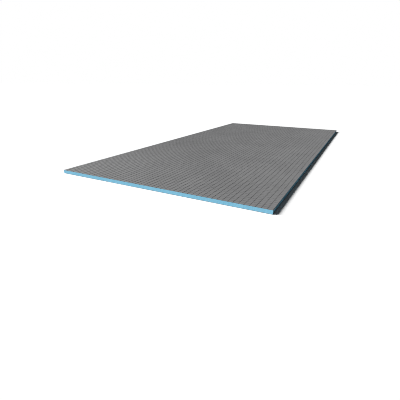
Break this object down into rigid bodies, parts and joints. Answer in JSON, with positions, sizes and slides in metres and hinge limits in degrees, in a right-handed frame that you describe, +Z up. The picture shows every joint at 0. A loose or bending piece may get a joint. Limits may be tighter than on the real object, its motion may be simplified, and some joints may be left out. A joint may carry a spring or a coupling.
{
  "type": "foam tile backer board",
  "caption": "Flat rectangular foam sheet with a thin mesh-reinforced cement skin on both broad sides, used as a backing for wall and floor tiles.",
  "frame": {"origin": "centre of the broad face that the board lies on", "axes": "+X across the width, +Y along the length, +Z up through the thickness, from the back face to the tile face"},
  "size_m": [0.6, 1.25, 0.01],
  "materials": {
    "xps_foam": "matte",
    "cement_skin": "matte"
  },
  "bodies": {
    "root": {"foam_core": "xps_foam", "tile_side_skin": "cement_skin", "back_side_skin": "cement_skin"}
  },
  "joints": []
}
